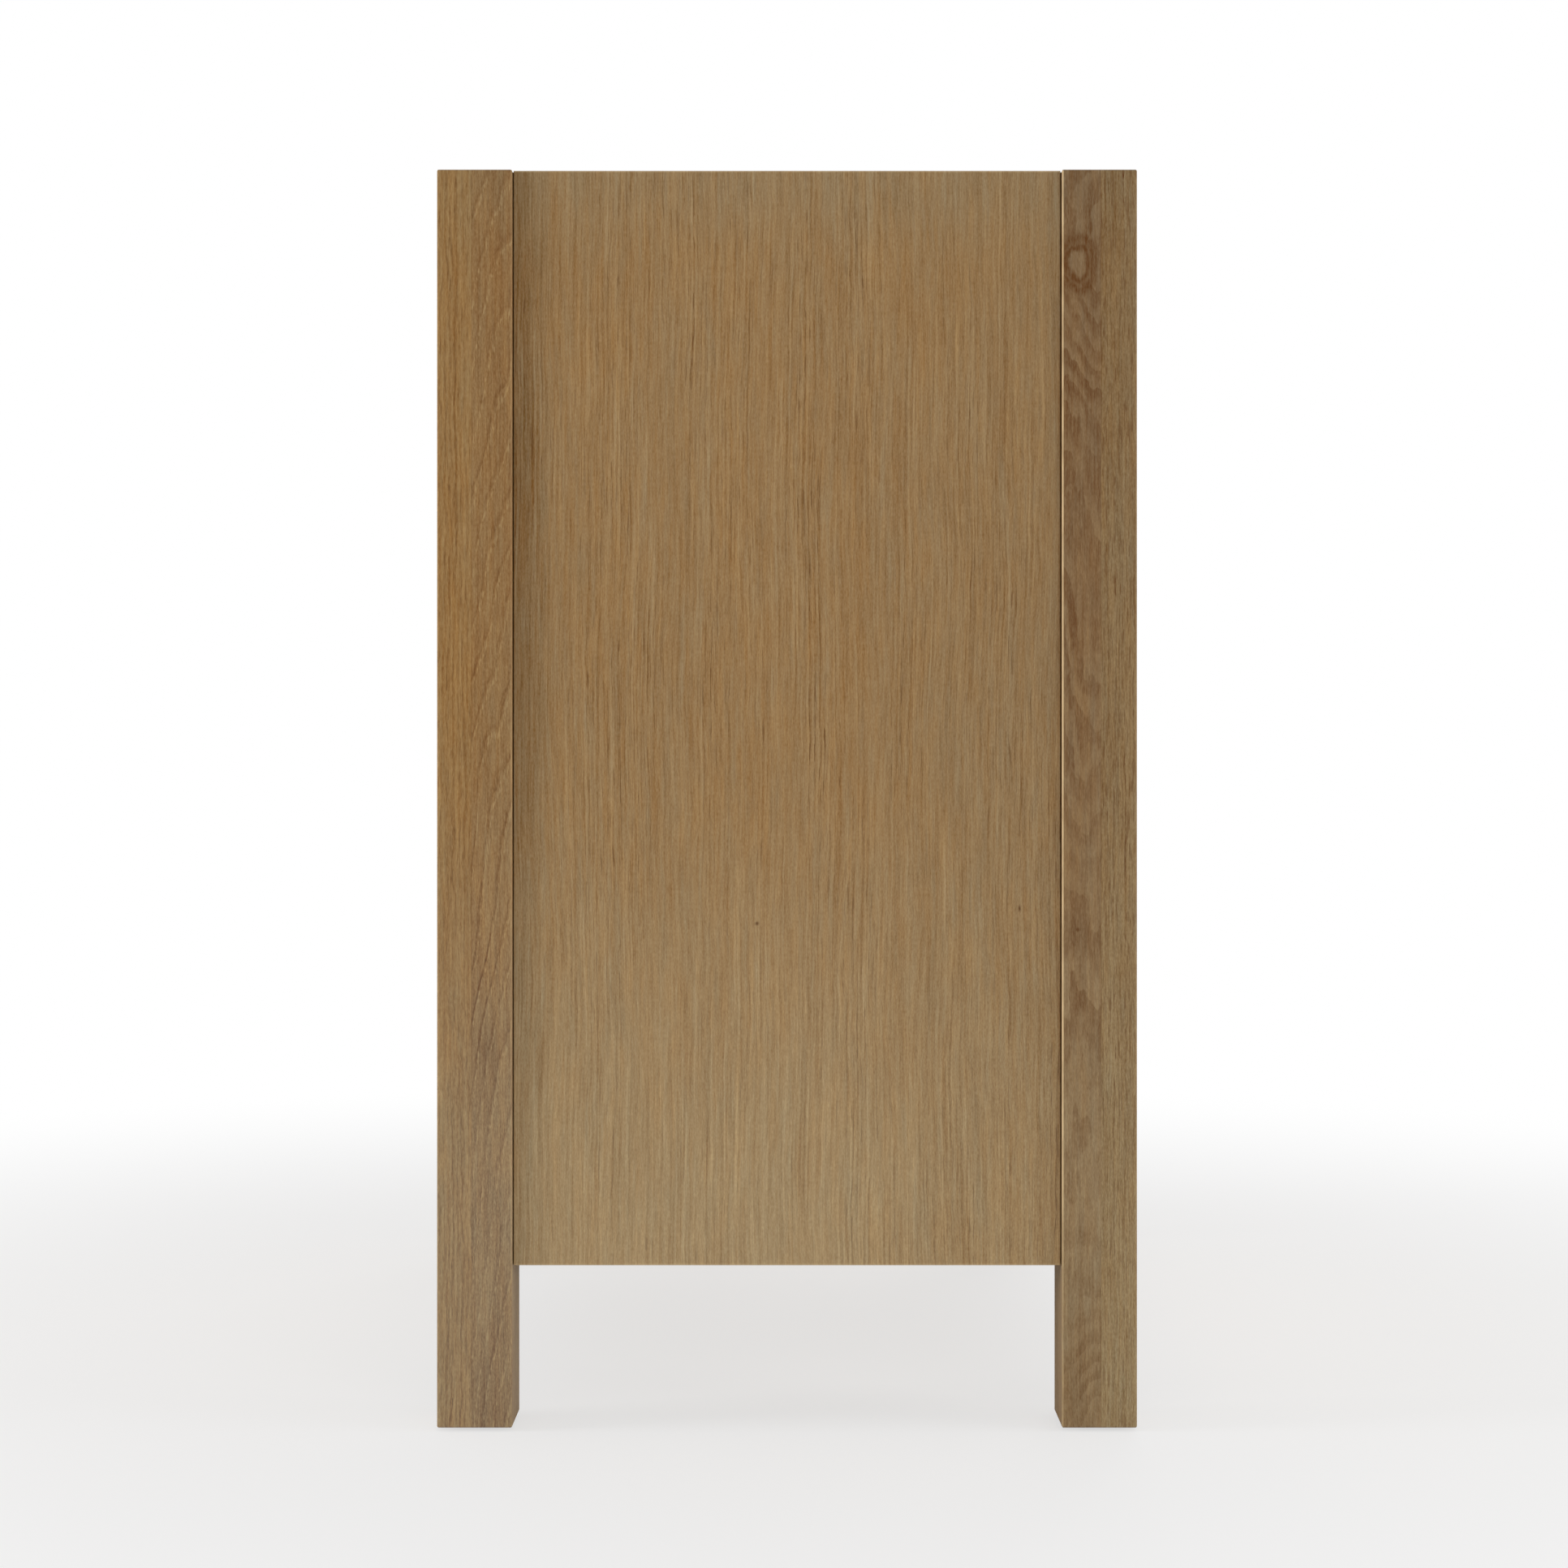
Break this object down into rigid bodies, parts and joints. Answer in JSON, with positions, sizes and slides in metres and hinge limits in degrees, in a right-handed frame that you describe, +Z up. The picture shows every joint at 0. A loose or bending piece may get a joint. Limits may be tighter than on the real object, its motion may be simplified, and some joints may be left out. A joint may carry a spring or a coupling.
{
  "type": "vanity unit",
  "caption": "Free-standing oak vanity cabinet on post legs, with veneered side panels, inset doors over a drawer and an open top that takes a basin or worktop.",
  "frame": {"origin": "on the floor, under the middle of the unit", "axes": "+X to the unit's right, -Y the front with the doors, +Z up"},
  "size_m": [0.76, 0.466, 0.84],
  "materials": {
    "oak_solid": "oiled solid oak, glued up from two strips",
    "oak_veneer": "oiled straight-grained oak veneer on board",
    "birch_wood": "pale lacquered birch",
    "birch_ply": "pale lacquered birch plywood",
    "zinc_steel": "bright zinc-plated steel",
    "hinge_brass": "satin brass",
    "magnet": "nickel-plated magnet",
    "washer_plastic": "white nylon",
    "glide_plastic": "dark brown nylon",
    "bumper_rubber": "clear soft rubber"
  },
  "bodies": {
    "carcass": {"front_left_post": "oak_solid", "front_right_post": "oak_solid", "back_left_post": "oak_solid", "back_right_post": "oak_solid", "left_side_panel": "oak_veneer", "right_side_panel": "oak_veneer", "top_front_rail": "oak_solid", "middle_front_rail": "oak_solid", "bottom_front_rail": "oak_solid", "wall_rail": "oak_solid", "bottom_back_rail": "oak_solid", "back_panel": "birch_ply", "cabinet_floor": "oak_veneer", "drawer_divider": "oak_veneer", "loose_shelf": "oak_veneer", "left_top_batten": "birch_wood", "right_top_batten": "birch_wood", "door_stop_batten": "oak_solid", "left_runner_bearer": "birch_wood", "right_runner_bearer": "birch_wood", "carcass_dowels": "birch_wood", "shelf_pins": "zinc_steel", "leg_glides": "glide_plastic", "batten_screws": "zinc_steel", "stop_batten_screws": "zinc_steel", "door_magnets": "magnet", "hinge_pin_plates": "hinge_brass", "hinge_washers": "washer_plastic", "pin_plate_screws": "hinge_brass", "left_runner_outer": "zinc_steel", "right_runner_outer": "zinc_steel", "runner_outer_screws": "zinc_steel"},
    "left_door_leaf": {"left_door": "oak_veneer", "left_hinge_socket_plates": "hinge_brass", "left_socket_screws": "hinge_brass", "left_door_strike": "zinc_steel", "left_door_bumpers": "bumper_rubber"},
    "right_door_leaf": {"right_door": "oak_veneer", "right_hinge_socket_plates": "hinge_brass", "right_socket_screws": "hinge_brass", "right_door_strike": "zinc_steel", "right_door_bumpers": "bumper_rubber"},
    "drawer": {"drawer_front": "oak_veneer", "drawer_box_front": "birch_wood", "drawer_box_back": "birch_wood", "drawer_left_side": "birch_wood", "drawer_right_side": "birch_wood", "drawer_bottom": "birch_ply", "drawer_front_screws": "zinc_steel", "left_runner_inner": "zinc_steel", "right_runner_inner": "zinc_steel", "runner_inner_screws": "zinc_steel"},
    "left_runner_slider": {"left_runner_middle": "zinc_steel"},
    "right_runner_slider": {"right_runner_middle": "zinc_steel"}
  },
  "joints": [
    {"name": "left_door_swing", "type": "hinge", "parent": "carcass", "child": "left_door_leaf", "pos_m": [-0.319, -0.222, 0.575], "axis": [0, 0, -1], "range_deg": [0, 95]},
    {"name": "right_door_swing", "type": "hinge", "parent": "carcass", "child": "right_door_leaf", "pos_m": [0.319, -0.222, 0.575], "axis": [0, 0, 1], "range_deg": [0, 95]},
    {"name": "drawer_slide", "type": "slide", "parent": "carcass", "child": "drawer", "axis": [0, -1, 0], "range_m": [0, 0.3]},
    {"name": "left_runner_slide", "type": "slide", "parent": "carcass", "child": "left_runner_slider", "axis": [0, -1, 0], "range_m": [0, 0.15]},
    {"name": "right_runner_slide", "type": "slide", "parent": "carcass", "child": "right_runner_slider", "axis": [0, -1, 0], "range_m": [0, 0.15]}
  ],
  "couplings": [
    {"joint": "left_runner_slide", "follows": "drawer_slide", "ratio": 0.5},
    {"joint": "right_runner_slide", "follows": "drawer_slide", "ratio": 0.5}
  ]
}
